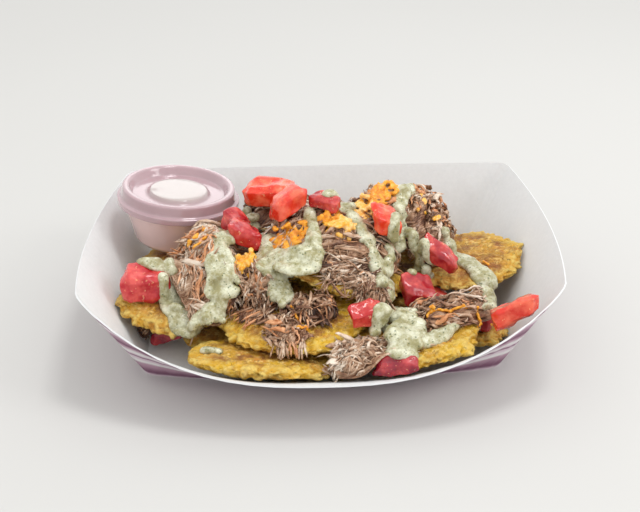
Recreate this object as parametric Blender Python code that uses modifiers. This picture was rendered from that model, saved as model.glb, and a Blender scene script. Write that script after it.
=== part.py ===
"""Loaded tostones in a paper food tray, with a lidded portion cup of dip.

Run with: blender --background --python part.py

Units are metres. +Z is up, -Y is the side where the tray's long wall is pressed open,
and the origin is the middle of the tray's flat base, on the table.
Lengths below are in millimetres and are scaled by MM where they become geometry.
"""

import math

import bmesh
import bpy
import numpy as np

MM = 0.001
GAP = 0.45  # air left between a piece and what it lies on
TURN_ROUND = 2 * math.pi
FOOD_SHARP = 50  # degrees between faces above which an edge of the food stays sharp
BOARD_SHARP = 30

# ---------------------------------------------------------------- paper tray
BOARD = 0.7  # paperboard thickness
BASE_HALF_LENGTH = 90.0
BASE_HALF_DEPTH = 65.0
RIM_HALF_LENGTH = 115.0
RIM_HALF_DEPTH = 81.0
RIM_HEIGHT = 53.0
FOLD_RADIUS = 0.035  # share of a side that is taken by each rounded corner
WALL_ROWS = 4
CORNER_STEPS = 3
# Each side of the tray: samples, bow of the base crease, bulge and drop of the rim at mid-side,
# and how late the rim turns towards the corner. The front wall is pressed open by the food.
TRAY_SIDES = {
    "front": (20, 8.0, 36.5, 28.0, 2.6),
    "right": (12, 3.0, 9.0, 3.0, 2.0),
    "back": (16, 8.0, 14.0, 5.0, 2.0),
    "left": (12, 3.0, 9.0, 3.0, 2.0),
}

# ---------------------------------------------------------------- tostones
TOSTON_THICKNESS = 8.4
TOSTON_SPOKES = 20
TOSTON_ROWS = 6
TOSTON_FULLNESS = 0.5  # under 1, the slice keeps its thickness out to the edge
TOSTON_BLUNTNESS = 6  # the more, the blunter its edge
TOSTON_WARP = 1.2
TOSTON_LOBES = 0.045  # unevenness of its outline, as a share of its size
TOSTON_LUMPS = 0.10  # unevenness of its thickness, as a share
TOSTON_GIVE = 2.2  # how far a fried slice bends over what is under it
TOSTON_STEEPEST = 0.45  # steepest slope at which a slice comes to rest
SLOPES = 19  # slopes tried each way
# name: centre x, y, half length, half width, turn in degrees
TOSTONES = {
    "toston_01": (-56, 22, 34, 33, 20),
    "toston_02": (10, 32, 36, 33, -15),
    "toston_03": (-45, -27, 34, 32, 10),
    "toston_04": (18, -34, 36, 33, 35),
    "toston_05": (61, -38, 37, 33, -30),
    "toston_06": (-72, 21, 31, 29, -20),
    "toston_07": (-27, -79, 40, 27, 4),
    "toston_08": (44, -75, 32, 26, -12),
    "toston_09": (-73, -30, 33, 27, 15),
    "toston_10": (-20, 18, 37, 34, 30),
    "toston_11": (40, 8, 33, 32, 0),
    "toston_12": (-12, -57, 40, 33, -4),
    "toston_13": (-34, -14, 34, 32, 25),
    "toston_14": (80, 0, 31, 33, -18),
    "toston_15": (10, -24, 36, 34, -35),
    "toston_16": (64, 38, 33, 31, 10),
    "toston_17": (-66, 24, 31, 30, 35),
}

# ---------------------------------------------------------------- portion cup with lid
CUP_X, CUP_Y = -82.0, 30.0
CUP_LEAN = 6.5  # degrees, towards +X
CUP_HEIGHT = 24.5
CUP_FOOT_RADIUS = 23.5
CUP_MOUTH_RADIUS = 30.6
CUP_BEAD_RADIUS = 32.0
CUP_WALL = 0.6
DIP_LEVEL = 24.2
DIP_MOUND = 1.2  # how much higher the dip stands in the middle
LID_TOP_RING = 7.2
LID_SKIRT_RADIUS = 34.2
TURNED_STEPS = 28

# ---------------------------------------------------------------- shredded meat
MEAT_SPOKES = 16
MEAT_ROWS = 8
MEAT_LEAST = 2.0  # least depth of a heap inside its outline
MEAT_LEAST_REACH = 0.3  # a heap that meets something taller ends there, but not nearer its middle
MEAT_LOBES = 0.10  # unevenness of a heap's outline, as a share of its size
MEAT_LUMPS = 1.6  # unevenness of its top
MEAT_SHARES = 15  # steps in which a heap is tried outwards
MEAT_STAND_OFF = 2  # grid steps that a heap keeps from what stands beside it
MEAT_CLIMB = 3.0  # how far above its own crown line a heap climbs what is in its way
MEAT_RAMP = 1.2  # steepest slope at which a heap's underside follows what it covers
MEAT_GAP = 0.25  # air left under a heap beyond the usual, where it drapes over sharp edges
MEAT_NEAR = 4  # grid steps round a place that is too low within which a heap is raised
MEAT_TRIES = 16
# name: centre x, y, half length, half width, turn, height of the crown above the table,
# fall from the crown to the heap's outline
MEAT_HEAPS = {
    "meat_low_left": (-88, -38, 10, 8, 20, 12, 3),
    "meat_left": (-57, -23, 28, 39, 10, 61, 32),
    "meat_mid_left": (-33, -43, 24, 17, -20, 50, 20),
    "meat_centre": (4, -12, 37, 44, 16, 66, 22),
    "meat_back": (-23, 25, 31, 32, -10, 61, 24),
    "meat_right": (53, 12, 22, 33, -10, 66, 25),
    "meat_saddle": (32, 4, 15, 19, 0, 72, 12),
    "meat_hanging_left": (-8, -58, 19, 12, -30, 42, 9),
    "meat_hanging_right": (23, -52, 12, 12, 10, 46, 13),
    "meat_front": (26, -89, 24, 16, 10, 31, 9),
    "meat_low_right": (63, -62, 26, 17, 20, 36, 8),
    "meat_front_clump": (-17, -78, 12, 9, -35, 36, 6),
}

# ---------------------------------------------------------------- tomato dice
TOMATO_BEVEL = 0.16  # as a share of the block's side
TOMATO_KNOCKS = 0.12  # how unevenly its corners are knocked in
TOMATO_TAPER = 0.35
TOMATO_THINNER = 0.25  # how much lower its ends are than its middle
TOMATO_GIVE = 2.0
TOMATO_STEEPEST = 0.4
# name: centre x, y, length, width, height, turn
TOMATOES = {
    "tomato_01": (-90, -36, 24, 17, 15, 12),
    "tomato_02": (-26, 15, 28, 18, 12, -14),
    "tomato_03": (-16, -10, 17, 15, 13, 30),
    "tomato_04": (-44, -6, 15, 12, 12, 50),
    "tomato_05": (-39, -21, 16, 13, 13, 10),
    "tomato_06": (4, -13, 18, 9, 7, -40),
    "tomato_07": (34, -21, 14, 13, 13, 15),
    "tomato_08": (63, -23, 19, 9, 9, -30),
    "tomato_09": (82, -53, 11, 20, 12, -20),
    "tomato_10": (91, -82, 18, 21, 12, -98),
    "tomato_11": (51, -40, 20, 13, 11, 20),
    "tomato_12": (22, -72, 17, 9, 9, 24),
    "tomato_13": (-79, -41, 20, 10, 7, -6),
    "tomato_14": (34, -101, 20, 6, 4, -8),
    "tomato_15": (57, -26, 19, 8, 6, -10),
}

# Everything in the tray, in the order in which it is laid on what is already there.
ORDER = (
    "toston_01 toston_02 toston_03 toston_04 toston_05 toston_16 toston_17 toston_06 tomato_13 "
    "meat_low_left toston_07 toston_08 toston_09 toston_10 toston_11 toston_12 tomato_14 "
    "tomato_15 toston_13 toston_14 toston_15 cup tomato_01 tomato_11 "
    "meat_left meat_mid_left meat_centre meat_back meat_right meat_saddle meat_hanging_left "
    "meat_hanging_right tomato_12 tomato_09 meat_front meat_low_right meat_front_clump "
    "tomato_02 tomato_03 tomato_04 tomato_05 tomato_06 tomato_07 tomato_08 tomato_10"
).split()

SEEDS = {"toston": 100, "meat": 200, "tomato": 300}  # where each kind's own unevenness starts

# ---------------------------------------------------------------- colours
COLOURS = {
    "tray": (0.84, 0.84, 0.82),
    "toston": (0.72, 0.50, 0.13),
    "meat": (0.33, 0.22, 0.15),
    "tomato": (0.78, 0.09, 0.06),
    "cup": (0.92, 0.84, 0.85),
    "lid": (0.95, 0.91, 0.91),
    "dip": (0.90, 0.66, 0.58),
}
ROUGHNESS = {"tray": 0.7, "toston": 0.55, "meat": 0.6, "tomato": 0.2}
SMOOTH_PLASTIC = 0.15


# ---------------------------------------------------------------- scene helpers
def clear_scene():
    for obj in list(bpy.data.objects):
        bpy.data.objects.remove(obj)


def material(kind):
    found = bpy.data.materials.get(kind)
    if found:
        return found
    made = bpy.data.materials.new(kind)
    made.use_nodes = True
    shader = made.node_tree.nodes["Principled BSDF"]
    shader.inputs["Base Color"].default_value = (*COLOURS[kind], 1.0)
    shader.inputs["Roughness"].default_value = ROUGHNESS.get(kind, SMOOTH_PLASTIC)
    return made


def new_object(name, points, faces, kind, collection):
    """A named mesh object from points in millimetres."""
    mesh = bpy.data.meshes.new(name)
    mesh.from_pydata([tuple(c * MM for c in p) for p in points], [], faces)
    mesh.update()
    mesh.materials.append(material(kind))
    obj = bpy.data.objects.new(name, mesh)
    collection.objects.link(obj)
    return obj


def outward(obj):
    """Turns every face of a closed mesh outwards and shades it smooth over gentle edges."""
    work = bmesh.new()
    work.from_mesh(obj.data)
    bmesh.ops.recalc_face_normals(work, faces=work.faces)
    work.to_mesh(obj.data)
    work.free()
    obj.data.shade_smooth()
    obj.data.set_sharp_from_angle(angle=math.radians(FOOD_SHARP))


def surface_of(obj):
    """Points in millimetres and triangles of an object as its modifiers leave it."""
    bpy.context.view_layer.update()
    graph = bpy.context.evaluated_depsgraph_get()
    evaluated = obj.evaluated_get(graph)
    mesh = evaluated.to_mesh()
    mesh.calc_loop_triangles()
    points = np.array([obj.matrix_world @ v.co for v in mesh.vertices]) / MM
    triangles = np.array([t.vertices[:] for t in mesh.loop_triangles])
    evaluated.to_mesh_clear()
    return points, triangles


# ---------------------------------------------------------------- the pile
class Pile:
    """The height of everything laid so far, on a grid over the tray."""

    REACH_X, REACH_Y, STEP = 130, 130, 1.0
    UPRIGHT = 1e-9  # a triangle with less area than this, seen from above, stands upright
    OVERHANG = 0.02  # how far past a triangle, as a share of it, a grid point still counts
    BEND = 3  # grid steps over which a bent piece eases back

    def __init__(self):
        self.nx = int(2 * self.REACH_X / self.STEP) + 1
        self.ny = int(2 * self.REACH_Y / self.STEP) + 1
        self.height = np.full((self.nx, self.ny), -1.0)

    def sweep(self, points, triangles, lowest):
        """The lowest or the highest height of a mesh over each grid point, NaN where it isn't."""
        found = np.full((self.nx, self.ny), np.nan)
        pick = np.fmin if lowest else np.fmax
        at = (points[:, :2] + (self.REACH_X, self.REACH_Y)) / self.STEP
        for a, b, c in triangles:
            corner = at[[a, b, c]]
            low = np.maximum(np.floor(corner.min(0)).astype(int), 0)
            high = np.minimum(np.ceil(corner.max(0)).astype(int) + 1, (self.nx, self.ny))
            if (high <= low).any():
                continue
            gx, gy = np.mgrid[low[0]:high[0], low[1]:high[1]]
            (x0, y0), (x1, y1), (x2, y2) = corner
            area = (x1 - x0) * (y2 - y0) - (x2 - x0) * (y1 - y0)
            if abs(area) < self.UPRIGHT:
                continue
            u = ((gx - x0) * (y2 - y0) - (x2 - x0) * (gy - y0)) / area
            v = ((x1 - x0) * (gy - y0) - (gx - x0) * (y1 - y0)) / area
            z = points[a, 2] * (1 - u - v) + points[b, 2] * u + points[c, 2] * v
            z[np.minimum(np.minimum(u, v), 1 - u - v) < -self.OVERHANG] = np.nan
            window = found[low[0]:high[0], low[1]:high[1]]
            found[low[0]:high[0], low[1]:high[1]] = pick(window, z)
        return found

    def spread(self, grid, reach):
        """Each grid point takes the highest value within reach of it."""
        grown = np.pad(grid, reach, mode="edge")
        rows = [grown[i:i + self.nx] for i in range(2 * reach + 1)]
        tall = np.fmax.reduce(rows)
        return np.fmax.reduce([tall[:, j:j + self.ny] for j in range(2 * reach + 1)])

    def sample(self, grid, x, y):
        i = np.clip(np.round((np.asarray(x) + self.REACH_X) / self.STEP), 0, self.nx - 1)
        j = np.clip(np.round((np.asarray(y) + self.REACH_Y) / self.STEP), 0, self.ny - 1)
        return grid[i.astype(int), j.astype(int)]

    def floor(self, x, y, reach):
        """The height that a point at x, y has to clear, looking reach grid steps around it."""
        return self.sample(self.spread(self.height, reach), x, y) + GAP

    def ramped(self, wall, slope):
        """The pile's height with its steps filled up to slopes, apart from walls taller than wall."""
        ground = np.where(self.height > wall, -1.0, self.height)
        while True:
            filled = np.fmax(ground, self.spread(ground, 1) - slope * self.STEP)
            if np.allclose(filled, ground):
                return self.spread(ground, 1)
            ground = filled

    def lack(self, points, triangles, reach=1):
        """How far a mesh still has to rise at each grid point to clear the pile within reach of it."""
        return self.spread(self.height, reach) + GAP - self.sweep(points, triangles, True)

    def add(self, points, triangles):
        self.height = np.fmax(self.height, self.sweep(points, triangles, False))

    def settle(self, points, triangles, steepest):
        """Tilts a mesh to the slope at which its middle comes to rest lowest."""
        lack = self.lack(points, triangles)
        inside = ~np.isnan(lack)
        gx, gy = np.nonzero(inside)
        middle = points[:, :2].mean(0)
        across = gx * self.STEP - self.REACH_X - middle[0]
        along = gy * self.STEP - self.REACH_Y - middle[1]
        slopes = np.linspace(-steepest, steepest, SLOPES)
        best = min(
            (np.max(lack[inside] - sx * across - sy * along), sx, sy) for sx in slopes for sy in slopes
        )
        points = points.copy()
        points[:, 2] += (points[:, :2] - middle) @ best[1:]
        return points

    def lay(self, points, triangles, give):
        """Lowers a mesh on to the pile. It may bend by up to give where the pile stands proud."""
        lack = self.lack(points, triangles)
        rest = np.nanmax(lack) - give
        bend = np.nan_to_num(np.maximum(lack - rest, 0.0), nan=0.0)
        points = points.copy()
        points[:, 2] += rest + self.sample(self.spread(bend, self.BEND), points[:, 0], points[:, 1])
        points[:, 2] += max(np.nanmax(self.lack(points, triangles)), 0.0)
        self.add(points, triangles)
        return points


# ---------------------------------------------------------------- tray
def tray_corner(level, sx, sy):
    half_x = BASE_HALF_LENGTH + level * (RIM_HALF_LENGTH - BASE_HALF_LENGTH)
    half_y = BASE_HALF_DEPTH + level * (RIM_HALF_DEPTH - BASE_HALF_DEPTH)
    return np.array([sx * half_x, sy * half_y, level * RIM_HEIGHT])


def tray_outline(level):
    """The tray's outline at a level from 0, the base crease, to 1, the rim."""
    corners = {"front": (-1, -1), "right": (1, -1), "back": (1, 1), "left": (-1, 1)}
    outwards = {"front": (0, -1), "right": (1, 0), "back": (0, 1), "left": (-1, 0)}
    names = list(corners)
    runs = []
    for index, name in enumerate(names):
        samples, bow, bulge, drop, power = TRAY_SIDES[name]
        start = tray_corner(level, *corners[name])
        end = tray_corner(level, *corners[names[(index + 1) % 4]])
        out = bow + level * (bulge - bow)
        run = []
        for k in range(samples + 1):
            t = FOLD_RADIUS + (1 - 2 * FOLD_RADIUS) * k / samples
            middle = 1 - abs(2 * t - 1) ** power
            point = start + (end - start) * t
            point[:2] += np.array(outwards[name]) * out * middle
            point[2] -= level * drop * middle
            run.append(point)
        runs.append((run, end))
    outline = []
    for index, (run, corner) in enumerate(runs):
        outline += run
        first, last = run[-1], runs[(index + 1) % 4][0][0]
        for k in range(1, CORNER_STEPS):
            t = k / CORNER_STEPS
            outline.append((1 - t) ** 2 * first + 2 * t * (1 - t) * corner + t * t * last)
    return outline


def build_tray(collection):
    """One folded board: a flat base and four leaning walls that meet in soft corners."""
    rows = [tray_outline(k / WALL_ROWS) for k in range(WALL_ROWS + 1)]
    count = len(rows[0])
    points = [p for row in rows for p in row]
    faces = [tuple(reversed(range(count)))]
    for row in range(WALL_ROWS):
        for k in range(count):
            a, b = row * count + k, row * count + (k + 1) % count
            faces.append((a, b, b + count, a + count))
    tray = new_object("tray", points, faces, "tray", collection)
    tray.data.shade_smooth()
    tray.data.set_sharp_from_angle(angle=math.radians(BOARD_SHARP))
    board = tray.modifiers.new("board", "SOLIDIFY")
    board.thickness = BOARD * MM
    board.offset = -1.0
    board.use_even_offset = True
    return tray


# ---------------------------------------------------------------- food shapes
def outline_waves(seed, size):
    """A few uneven lobes round a piece's outline, each as (lobes, depth, phase)."""
    chance = np.random.default_rng(seed)
    waves = []
    for lobes in (2, 3, 4, 5, 7):
        depth = size * chance.uniform(0.4, 1.0) / lobes ** 0.7
        waves.append((lobes, depth, chance.uniform(0, TURN_ROUND)))
    return waves


def ball(spokes, rows):
    """A unit ball's points and triangles."""
    work = bmesh.new()
    bmesh.ops.create_uvsphere(work, u_segments=spokes, v_segments=rows, radius=1.0)
    bmesh.ops.triangulate(work, faces=work.faces[:])
    work.verts.index_update()
    points = np.array([vert.co for vert in work.verts])
    triangles = np.array([[vert.index for vert in face.verts] for face in work.faces])
    work.free()
    return points, triangles


class Lens:
    """A ball pressed flat inside an uneven outline: where each of its points lies, seen from above.

    share runs from 0 in the middle to 1 on the outline, and side is 1 on top, -1 beneath and 0 on it.
    """

    def __init__(self, spokes, rows, row, waves, fullness):
        x, y, self.half_x, self.half_y, self.turn = row[:5]
        self.waves = waves
        self.middle = np.array([x, y])
        points, self.triangles = ball(spokes, rows)
        self.angle = np.arctan2(points[:, 1], points[:, 0])
        self.spoke = np.round(self.angle / TURN_ROUND * spokes).astype(int) % spokes
        self.share = np.minimum(np.hypot(points[:, 0], points[:, 1]), 1.0) ** fullness
        self.side = np.where(abs(points[:, 2]) < 1e-6, 0, np.sign(points[:, 2]))

    def places(self, angle, share):
        """Where the outline, shrunk to a share of its size, passes at an angle."""
        wobble = 1 + sum(depth * np.sin(n * angle + phase) for n, depth, phase in self.waves)
        across = self.half_x * share * wobble * np.cos(angle)
        along = self.half_y * share * wobble * np.sin(angle)
        c, s = math.cos(math.radians(self.turn)), math.sin(math.radians(self.turn))
        return self.middle + np.column_stack([c * across - s * along, s * across + c * along])


def build_toston(name, seed, row, pile, collection):
    """A twice-fried plantain slice: a flattened disc with a thick, uneven edge."""
    waves = outline_waves(seed, TOSTON_LOBES)
    lens = Lens(TOSTON_SPOKES, TOSTON_ROWS, row, waves, TOSTON_FULLNESS)
    chance = np.random.default_rng(seed + SEEDS["toston"])
    half = TOSTON_THICKNESS / 2 * (1 - lens.share ** TOSTON_BLUNTNESS) ** 0.5
    half *= 1 + TOSTON_LUMPS * chance.uniform(-1, 1, len(half))
    warp = TOSTON_WARP * lens.share ** 2 * np.sin(2 * lens.angle + seed)
    points = np.column_stack([lens.places(lens.angle, lens.share), warp + lens.side * half])
    points = pile.settle(points, lens.triangles, TOSTON_STEEPEST)
    points = pile.lay(points, lens.triangles, TOSTON_GIVE)
    outward(new_object(name, points, lens.triangles, "toston", collection))


def room_along(pile, lens, crown, fall, ground):
    """How far out each spoke runs, as a share, before it meets something it can't climb."""
    walls = pile.spread(np.where(pile.height > crown, pile.height, -1.0), MEAT_STAND_OFF)
    blocked = np.fmax(ground, walls)
    fine = 3 * MEAT_SPOKES
    reach = []
    for angle in np.arange(fine) * TURN_ROUND / fine:
        for share in np.linspace(MEAT_LEAST_REACH, 1.0, MEAT_SHARES):
            meets = pile.sample(blocked, *lens.places(angle, share)[0])
            if meets > crown - fall * share ** 2 + MEAT_CLIMB:
                break
        reach.append(share)
    return np.min([np.roll(reach, near) for near in (-2, -1, 0, 1, 2)], axis=0)[::3]


def build_meat(name, seed, row, pile, collection):
    """A heap of shredded meat: it fills down on to what it lies on, under an uneven crown."""
    crown, fall = row[5:]
    lens = Lens(MEAT_SPOKES, MEAT_ROWS, row, outline_waves(seed, MEAT_LOBES), 1.0)
    ground = pile.ramped(crown, MEAT_RAMP)
    reach = room_along(pile, lens, crown, fall, ground)
    chance = np.random.default_rng(seed + SEEDS["meat"])
    top = crown - fall * lens.share ** 2 + chance.uniform(-MEAT_LUMPS, MEAT_LUMPS, len(lens.share))
    thick = np.where(lens.side == 0, MEAT_LEAST / 2, MEAT_LEAST)
    flat = lens.places(lens.angle, lens.share * reach[lens.spoke])
    lift = np.zeros(len(lens.share))
    for _ in range(MEAT_TRIES):
        bottom = pile.sample(ground, flat[:, 0], flat[:, 1]) + GAP + lift
        z = np.where(lens.side > 0, np.maximum(top, bottom + thick), bottom)
        points = np.column_stack([flat, z])
        lack = pile.lack(points, lens.triangles)
        if np.nanmax(lack) <= 0:
            break
        short = pile.spread(np.nan_to_num(np.maximum(lack, 0), nan=0.0), MEAT_NEAR)
        lift += pile.sample(short, flat[:, 0], flat[:, 1])
    points[:, 2] += max(np.nanmax(lack), 0.0) + MEAT_GAP
    pile.add(points, lens.triangles)
    outward(new_object(name, points, lens.triangles, "meat", collection))


def build_tomato(name, seed, row, pile, collection):
    """A tomato dice: a tapering block with unevenly cut-off edges."""
    x, y, length, width, height, turn = row
    chance = np.random.default_rng(seed + SEEDS["tomato"])
    block = bmesh.new()
    bmesh.ops.create_cube(block, size=1.0)
    bmesh.ops.bevel(block, geom=block.edges[:], offset=TOMATO_BEVEL, segments=1, affect="EDGES")
    c, s = math.cos(math.radians(turn)), math.sin(math.radians(turn))
    for vert in block.verts:
        u, v, w = vert.co + vert.co * chance.uniform(-TOMATO_KNOCKS, TOMATO_KNOCKS)
        u *= 1 - TOMATO_TAPER * max(v, 0)
        px, py = c * u * length - s * v * width, s * u * length + c * v * width
        vert.co = (px, py, w * height * (1 - TOMATO_THINNER * abs(u)))
    bmesh.ops.delete(block, geom=block.edges[:] + block.faces[:], context="EDGES_FACES")
    bmesh.ops.convex_hull(block, input=block.verts)
    loose = [vert for vert in block.verts if not vert.link_faces]
    bmesh.ops.delete(block, geom=loose, context="VERTS")
    bmesh.ops.triangulate(block, faces=block.faces[:])
    block.verts.index_update()
    points = np.array([vert.co for vert in block.verts]) + (x, y, 0)
    faces = [tuple(v.index for v in face.verts) for face in block.faces]
    block.free()
    points = pile.settle(points, faces, TOMATO_STEEPEST)
    points = pile.lay(points, faces, TOMATO_GIVE)
    outward(new_object(name, points, faces, "tomato", collection))


# ---------------------------------------------------------------- portion cup
def turned(name, profile, kind, place, collection):
    """A profile of (radius, height), listed down its outer side, turned about the cup's axis."""
    points = [(radius, 0.0, height) for radius, height in profile]
    edges = [(k, k + 1) for k in range(len(points) - 1)]
    mesh = bpy.data.meshes.new(name)
    mesh.from_pydata([tuple(c * MM for c in p) for p in points], edges, [])
    mesh.materials.append(material(kind))
    obj = bpy.data.objects.new(name, mesh)
    collection.objects.link(obj)
    screw = obj.modifiers.new("turn", "SCREW")
    screw.steps = TURNED_STEPS
    screw.render_steps = TURNED_STEPS
    screw.use_merge_vertices = True
    screw.merge_threshold = 0.00001
    screw.use_smooth_shade = True
    obj.parent = place
    return obj


def cup_radius(height):
    """Outer radius of the cup's tapering wall."""
    return CUP_FOOT_RADIUS + (CUP_MOUTH_RADIUS - CUP_FOOT_RADIUS) * height / CUP_HEIGHT


def cup_profile():
    floor = CUP_WALL + 0.4
    return [
        (0, floor),
        (cup_radius(floor) - CUP_WALL - 1.5, floor),
        (cup_radius(2.5) - CUP_WALL, 2.5),
        (cup_radius(CUP_HEIGHT) - CUP_WALL, CUP_HEIGHT),
        (CUP_BEAD_RADIUS, CUP_HEIGHT),
        (CUP_BEAD_RADIUS, CUP_HEIGHT - 1.2),
        (cup_radius(CUP_HEIGHT) + 0.1, CUP_HEIGHT - 1.2),
        (cup_radius(2.2), 2.2),
        (cup_radius(0) - 1.4, 0),
        (0, 0),
    ]


def dip_profile():
    floor = CUP_WALL + 0.7
    inside = CUP_WALL + 0.3
    return [
        (0, DIP_LEVEL + DIP_MOUND),
        (16.0, DIP_LEVEL + 0.7 * DIP_MOUND),
        (cup_radius(DIP_LEVEL) - inside, DIP_LEVEL),
        (cup_radius(3.0) - inside, 3.0),
        (cup_radius(floor) - inside - 1.6, floor),
        (0, floor),
    ]


def lid_profile():
    """Raised middle, sunken ring, raised outer ring, and a skirt that clips over the cup's bead."""
    base = CUP_HEIGHT + 0.3
    top = [
        (0, 4.6),
        (15.8, 4.6),
        (17.6, 2.6),
        (25.6, 2.6),
        (27.8, LID_TOP_RING - 0.4),
        (28.8, LID_TOP_RING),
        (30.6, LID_TOP_RING),
        (31.4, LID_TOP_RING - 0.6),
        (32.2, 1.4),
        (LID_SKIRT_RADIUS, 0.9),
        (LID_SKIRT_RADIUS, -2.4),
    ]
    under = [
        (LID_SKIRT_RADIUS - CUP_WALL, -2.4),
        (LID_SKIRT_RADIUS - CUP_WALL, 0.2),
        (31.5, 0.4),
        (30.8, LID_TOP_RING - 0.9),
        (28.9, LID_TOP_RING - 0.7),
        (28.2, LID_TOP_RING - 1.0),
        (26.0, 1.9),
        (17.3, 1.9),
        (15.5, 3.9),
        (0, 3.9),
    ]
    return [(radius, base + height) for radius, height in top + under]


def build_cup(pile, collection):
    """The portion cup, its dip and its lid, standing together on the slices at the back left."""
    place = bpy.data.objects.new("cup_place", None)
    collection.objects.link(place)
    place.rotation_euler = (0, math.radians(CUP_LEAN), 0)
    place.location = (CUP_X * MM, CUP_Y * MM, 0)
    pieces = [
        turned("sauce_cup", cup_profile(), "cup", place, collection),
        turned("cup_dip", dip_profile(), "dip", place, collection),
        turned("cup_lid", lid_profile(), "lid", place, collection),
    ]
    surfaces = [surface_of(piece) for piece in pieces]
    rise = max(np.nanmax(pile.lack(*surface)) for surface in surfaces)
    place.location.z = rise * MM
    for points, triangles in surfaces:
        pile.add(points + (0, 0, rise), triangles)


# ---------------------------------------------------------------- assembly
def main():
    clear_scene()
    collection = bpy.data.collections.new("tostones")
    bpy.context.scene.collection.children.link(collection)
    pile = Pile()
    pile.add(*surface_of(build_tray(collection)))
    builders = {
        "toston": (TOSTONES, build_toston),
        "meat": (MEAT_HEAPS, build_meat),
        "tomato": (TOMATOES, build_tomato),
    }
    for name in ORDER:
        if name == "cup":
            build_cup(pile, collection)
            continue
        table, build = builders[name.split("_")[0]]
        build(name, list(table).index(name), table[name], pile, collection)


main()
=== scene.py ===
"""Looks for the loaded tostones in their paper food tray.

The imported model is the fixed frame, and its tray and dip keep their shapes. The slices, the
tomatoes, the cup and its lid get finer meshes from their own solids, each heap of meat becomes
flakes and strands over a smaller core, and cheese and sauce are laid over all of it. Lengths are
in millimetres, apart from the camera's, the lamps' and the floor's, and filled_mesh() turns them
into metres.
"""

import math
from collections import namedtuple

import bmesh
import bpy
import numpy as np
from mathutils import Matrix, Vector
from mathutils.bvhtree import BVHTree
from mathutils.kdtree import KDTree


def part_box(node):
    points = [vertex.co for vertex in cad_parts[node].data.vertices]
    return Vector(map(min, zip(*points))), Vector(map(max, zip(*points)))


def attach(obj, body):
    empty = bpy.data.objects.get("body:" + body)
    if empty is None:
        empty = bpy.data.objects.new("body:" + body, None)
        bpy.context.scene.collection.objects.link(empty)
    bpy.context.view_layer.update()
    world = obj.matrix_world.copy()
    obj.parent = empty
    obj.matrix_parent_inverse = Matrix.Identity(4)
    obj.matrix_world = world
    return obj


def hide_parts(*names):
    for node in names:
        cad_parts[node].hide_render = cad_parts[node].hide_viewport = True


MM = 0.001
UP = np.array([0.0, 0.0, 1.0])
TOP = 78.1  # nothing stands higher than this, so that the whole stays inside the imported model's box

# ---- camera, light and floor
CAMERA_PLACE = (0.0, -0.491, 0.278)  # in metres
CAMERA_TILT = 63.4
CAMERA_ROLL = -1.2
CAMERA_LENS = 56.25
CAMERA_SENSOR = 36.0
SKY_STRENGTH = 1.1
# place in metres, size in metres, power in watts
LAMPS = {
    "key": ((0.3, 0.05, 1.3), 0.3, 4.8),
    "side": ((1.1, -0.35, 0.8), 0.5, 3.5),
    "window": ((-0.14, 1.75, 0.8), 0.4, 0.5),
}
FLOOR_REACH = 4.0  # metres from the middle to each edge

# ---- slices
FINE_LEVELS = 3  # of subdivision, for slices that show
HIDDEN_LEVELS = 2
# slices of which little or nothing shows
HIDDEN_SLICES = [f"toston_{k:02}" for k in (1, 2, 3, 4, 6, 10, 11, 13, 16, 17)]
# by a slice's number, how bright yellow and how browned it is from 0 to 1
SLICE_TINTS = {
    5: (0.4, 0.6),
    6: (0.3, 0.7),
    7: (0.75, 0.35),
    8: (0.9, 0.3),
    9: (0.35, 0.6),
    12: (0.9, 0.2),
    13: (0.5, 0.4),
    14: (0.3, 0.65),
    15: (0.5, 0.45),
    17: (0.3, 0.7),
}
PLAIN_TINT = (0.4, 0.5)
SECTORS = 48  # in which a slice's outline is measured

# ---- tomatoes
# from tomato_01 to tomato_15: hue from 0 crimson to 1 orange-red, and how deep the colour is from 0 to 1
TOMATO_LOOKS = [
    (0.1, 0.4), (0.85, 0.3), (0.7, 0.3), (0.2, 0.7), (0.2, 0.6),
    (0.3, 0.8), (1.0, 0.4), (0.3, 0.9), (0.2, 0.7), (0.7, 0.3),
    (0.2, 0.8), (0.4, 0.6), (0.0, 1.0), (0.0, 1.0), (0.4, 0.6),
]

# ---- shredded meat
# the numbers of flakes and strands, the ways that they lie in degrees, their pull downwards and
# their greatest length, their tone at the top and the foot from 0 dark to 1 pale, and the share
# of orange ones
Heap = namedtuple("Heap", "flakes strands flake_way strand_way pull longest top_tone foot_tone orange")
MEAT = {
    "meat_left": Heap(200, 420, 5, 85, 0.6, 22, 0.78, 0.64, 0.42),
    "meat_mid_left": Heap(160, 380, 60, 100, 0.5, 20, 0.52, 0.46, 0.22),
    "meat_centre": Heap(330, 720, 3, 60, 0.35, 20, 0.42, 0.68, 0.05),
    "meat_back": Heap(120, 160, 30, 30, 0.2, 16, 0.55, 0.4, 0.15),
    "meat_right": Heap(360, 260, 40, 50, 0.3, 8, 0.6, 0.46, 0.25),
    "meat_saddle": Heap(60, 120, 20, 20, 0.2, 12, 0.62, 0.45, 0.2),
    "meat_hanging_left": Heap(90, 200, 100, 110, 0.6, 16, 0.4, 0.26, 0.08),
    "meat_hanging_right": Heap(40, 220, 90, 95, 0.8, 18, 0.62, 0.52, 0.05),
    "meat_front": Heap(100, 330, 10, 20, 0.3, 14, 0.78, 0.62, 0.0),
    "meat_low_right": Heap(100, 170, 10, 20, 0.2, 14, 0.58, 0.42, 0.12),
    "meat_front_clump": Heap(28, 110, 70, 75, 0.7, 14, 0.5, 0.66, 0.22),
    "meat_low_left": Heap(12, 40, 20, 20, 0.2, 9, 0.3, 0.2, 0.0),
}
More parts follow.
